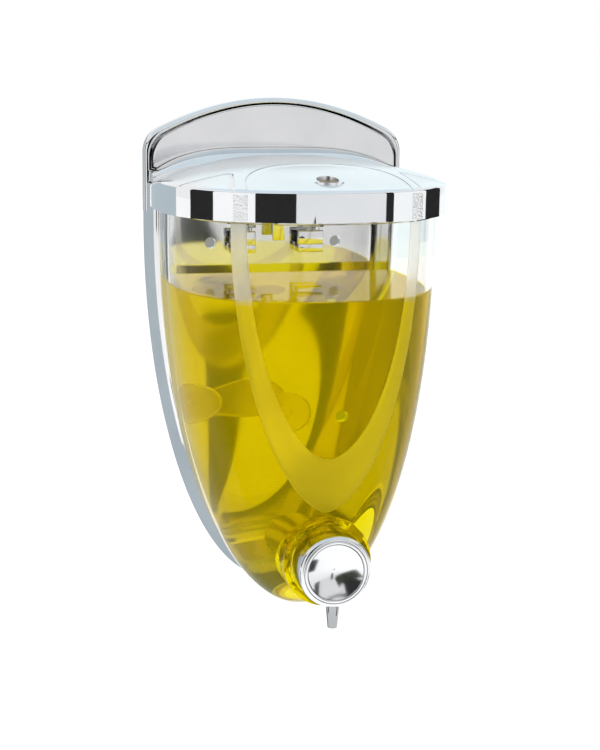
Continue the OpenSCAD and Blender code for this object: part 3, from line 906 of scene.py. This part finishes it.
bm = bmesh.new()
NOZZLE_Y = (nozzle_low.y + nozzle_high.y) / 2
tip = nozzle_low.z
turned(bm, [(1.2, tip + 3), (1.2, tip), (1.95, tip), (2.1, tip + 0.2), (2.9, PUMP_Z - R - 0.4),
            (2.9, PUMP_Z - R + 0.9), (2.6, PUMP_Z - R + 1.2), (2.6, PUMP_Z - 6), (0.0, PUMP_Z - 6),
            (0.0, tip + 3.2), (1.2, tip + 3)],
       (0, NOZZLE_Y, 0), (0, 0, 1), 64)
spout = finish_piece(bm, "nozzle_tip", nozzle_chrome, "button", 40)
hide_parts("nozzle")

bm = bmesh.new()
f, b = ring_low.y, ring_high.y - 0.04
turned(bm, [(15.8, b), (15.8, f + 0.9), (16.2, f + 0.35), (17.0, f + 0.15), (17.3, f), (18.2, f),
            (BOSS_R - 0.15, f + 0.25), (BOSS_R, f + 0.8), (BOSS_R, b), (15.8, b)],
       (0, 0, PUMP_Z), (0, 1, 0), 128)
bezel = finish_piece(bm, "boss_bezel", clear_plastic, "base", 40)
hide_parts("boss_ring")

# %% [markdown]
# ## Pieces kept from the CAD model
# The small inner parts are right as they are, so they only get their finishes.

# %% Finishes for the kept nodes
FINISH = {
    "hinge_pins": steel, "lock_cam": steel, "lock_screw": steel, "return_spring": steel,
    "inlet_ball": steel, "outlet_ball": steel, "lock_barrel": lock_brass,
    "pump_gasket": seal_rubber, "piston_rings": seal_rubber,
    "pump_body": white_plastic, "pump_nut": white_plastic, "guide_bush": white_plastic,
    "piston": white_plastic, "inlet_seat": white_plastic,
}
for name, material in FINISH.items():
    for holder in frame["nodes"][name].material_slots:
        holder.material = material
print("kept nodes:", len(FINISH))

# %% [markdown]
# ## Studio
# A pale floor, two soft lights from above, and bright and dark cards all round that the
# chrome mirrors. A dark drape stands behind the cards, because chrome needs something
# dark to mirror before it looks like chrome.

# %% Floor and world
bm = bmesh.new()
bmesh.ops.create_grid(bm, x_segments=1, y_segments=1, size=6.0)
floor_mesh = bpy.data.meshes.new("floor")
bm.to_mesh(floor_mesh)
bm.free()
floor = bpy.data.objects.new("floor", floor_mesh)
floor.location = (0, 0, plate_low.z * MM - 0.35)
floor_paint, nodes, links, shader = new_material("pale floor")
shader.inputs["Base Color"].default_value = (0.85, 0.85, 0.85, 1)
shader.inputs["Roughness"].default_value = 0.9
shader.inputs["Emission Color"].default_value = (1, 1, 1, 1)
shader.inputs["Emission Strength"].default_value = 0.25
floor_mesh.materials.append(floor_paint)
bpy.context.scene.collection.objects.link(floor)

world = bpy.data.worlds.new("studio")
world.use_nodes = True
world.node_tree.nodes["Background"].inputs["Color"].default_value = (1.0, 1.0, 1.0, 1)
world.node_tree.nodes["Background"].inputs["Strength"].default_value = 1.0
bpy.context.scene.world = world
bpy.context.scene.view_settings.view_transform = "Standard"


def softbox(name, place, target, size, power):
    """A soft light aimed at a point, which reflections and clear pieces don't see."""
    light = bpy.data.lights.new(name, "AREA")
    light.shape = "RECTANGLE"
    light.size, light.size_y = size
    light.energy = power
    obj = bpy.data.objects.new(name, light)
    obj.location = place
    obj.rotation_euler = (Vector(target) - Vector(place)).to_track_quat("-Z", "Y").to_euler()
    obj.visible_glossy = False
    obj.visible_transmission = False
    bpy.context.scene.collection.objects.link(obj)


def card(name, azimuth, width, reach=1.6, low=-0.15, high=0.6, shade=(1, 1, 1), lean=0.0):
    """An upright card round the object: azimuth 0 is in front, positive to the right."""
    bm = bmesh.new()
    bmesh.ops.create_grid(bm, x_segments=1, y_segments=1, size=0.5)
    bmesh.ops.scale(bm, vec=(width, high - low, 1), verts=bm.verts)
    bmesh.ops.rotate(bm, cent=(0, 0, 0), matrix=Matrix.Rotation(radians(lean), 3, "Z"), verts=bm.verts)
    bmesh.ops.rotate(bm, cent=(0, 0, 0), matrix=Matrix.Rotation(pi / 2, 3, "X"), verts=bm.verts)
    bmesh.ops.translate(bm, vec=(0, -reach, (low + high) / 2), verts=bm.verts)
    bmesh.ops.rotate(bm, cent=(0, 0, 0), matrix=Matrix.Rotation(radians(azimuth), 3, "Z"), verts=bm.verts)
    mesh = bpy.data.meshes.new(name)
    bm.to_mesh(mesh)
    bm.free()
    hang(name, mesh, shade)


def hang(name, mesh, shade):
    """Put a card up: it glows in its shade and only reflections see it, and clear pieces too unless its name
    holds dusk.
    """
    paint, nodes, links, shader = new_material(name)
    shader.inputs["Base Color"].default_value = (0, 0, 0, 1)
    shader.inputs["Roughness"].default_value = 1.0
    shader.inputs["Emission Color"].default_value = (*shade, 1)
    shader.inputs["Emission Strength"].default_value = 1.0
    mesh.materials.append(paint)
    obj = bpy.data.objects.new(name, mesh)
    obj.visible_camera = False
    obj.visible_shadow = False
    obj.visible_diffuse = False
    obj.visible_transmission = "dusk" not in name
    bpy.context.scene.collection.objects.link(obj)


softbox("key", (-0.9, -1.0, 1.3), (0, -0.05, 0), (1.0, 1.0), 10)
softbox("top", (0.3, -0.2, 1.5), (0, -0.05, 0), (1.4, 1.4), 8)


def sweep(start, end, reach=1.6):
    """Middle azimuth and width of a card that covers the angles from start to end."""
    return (start + end) / 2, 2 * reach * sin(radians(abs(end - start) / 2))


# a dark drape round the camera's side, which the cards stand in front of
bm = bmesh.new()
foot, head = bm.verts.new((0, -1.75, -0.15)), bm.verts.new((0, -1.75, 0.75))
edge = bm.edges.new((foot, head))
bmesh.ops.rotate(bm, cent=(0, 0, 0), matrix=Matrix.Rotation(radians(-107), 3, "Z"), verts=bm.verts)
bmesh.ops.spin(bm, geom=[foot, head, edge], cent=(0, 0, 0), axis=(0, 0, 1), angle=radians(229), steps=60)
drape = bpy.data.meshes.new("drape")
bm.to_mesh(drape)
bm.free()
hang("drape", drape, (0.012, 0.011, 0.011))

# bright cards that the lid's band mirrors, from its left end to its right end
for number, (start, end, shade) in enumerate([(-80, -34.4, (1.1, 1.1, 1.1)), (-8.3, 46.8, (0.90, 0.90, 0.91)),
                                              (48.6, 92, (1.1, 1.1, 1.1))]):
    azimuth, width = sweep(start, end)
    card(f"bright card {number}", azimuth, width, shade=shade)
# pale blue glows behind and above the object, for the lid's top and the ledge
azimuth, width = sweep(136, 181, 1.9)
card("sky card", azimuth, width, 1.9, -0.2, 2.6, (0.97, 1.07, 1.09))
azimuth, width = sweep(184, 240, 0.62)
card("dusk card", azimuth, width, 0.62, -0.46, 0.22, (0.50, 0.57, 0.62))
bm = bmesh.new()
bmesh.ops.create_grid(bm, x_segments=1, y_segments=1, size=1.3)
bmesh.ops.translate(bm, vec=(0, -0.6, 1.3), verts=bm.verts)
ceiling = bpy.data.meshes.new("ceiling card")
bm.to_mesh(ceiling)
bm.free()
hang("ceiling card", ceiling, (0.76, 0.88, 0.96))
bm = bmesh.new()
bmesh.ops.create_grid(bm, x_segments=1, y_segments=1, size=0.36)
bmesh.ops.translate(bm, vec=(-0.30, 0.50, -0.462), verts=bm.verts)
dusk_floor = bpy.data.meshes.new("dusk floor")
bm.to_mesh(dusk_floor)
bm.free()
hang("dusk floor", dusk_floor, (0.50, 0.57, 0.62))
# near, low cards: two that the tray mirrors through the soap, two for the nozzle's sides
card("centre card", -7, 0.31, 0.5, -0.155, -0.05, (0.02, 0.024, 0.01), 32)
card("thin card", 16, 0.04, 0.5, -0.14, -0.06, (0.05, 0.05, 0.03))
card("left low card", -75, 0.12, 0.35, -0.30, -0.14, (0.02, 0.02, 0.02))
card("right low card", 48, 0.10, 0.35, -0.30, -0.19, (0.02, 0.02, 0.02))
# stands in for the wall, which would be seen through the screw holes and the clear tank
bm = bmesh.new()
bmesh.ops.create_grid(bm, x_segments=1, y_segments=1, size=0.05)
bmesh.ops.rotate(bm, cent=(0, 0, 0), matrix=Matrix.Rotation(pi / 2, 3, "X"), verts=bm.verts)
bmesh.ops.translate(bm, vec=(0, 0.004, 0), verts=bm.verts)
wall_card = bpy.data.meshes.new("wall card")
bm.to_mesh(wall_card)
bm.free()
hang("wall card", wall_card, (0.30, 0.30, 0.28))
bpy.data.objects["wall card"].visible_glossy = False

bpy.context.scene.cycles.max_bounces = 24
bpy.context.scene.cycles.transmission_bounces = 24

# %% [markdown]
# The camera looks from the left and a little above, close enough that the front of the
# tank looks wider than the wall plate behind it.

# %% Camera
camera_data = bpy.data.cameras.new("camera")
camera_data.sensor_width = 36.0
camera_data.lens = 77.7072
camera = bpy.data.objects.new("camera", camera_data)
bpy.context.scene.collection.objects.link(camera)
turn, tilt, roll = radians(14.0), radians(11.2), radians(0.7)
ahead = Vector((sin(turn) * cos(tilt), cos(turn) * cos(tilt), -sin(tilt)))
right = Vector((cos(turn), -sin(turn), 0))
up = right.cross(ahead)
right, up = right * cos(roll) + up * sin(roll), up * cos(roll) - right * sin(roll)
pose = Matrix((right, up, -ahead)).transposed().to_4x4()
pose.translation = Vector((-0.1680, -0.7330, 0.1254))
camera.matrix_world = pose
bpy.context.scene.camera = camera
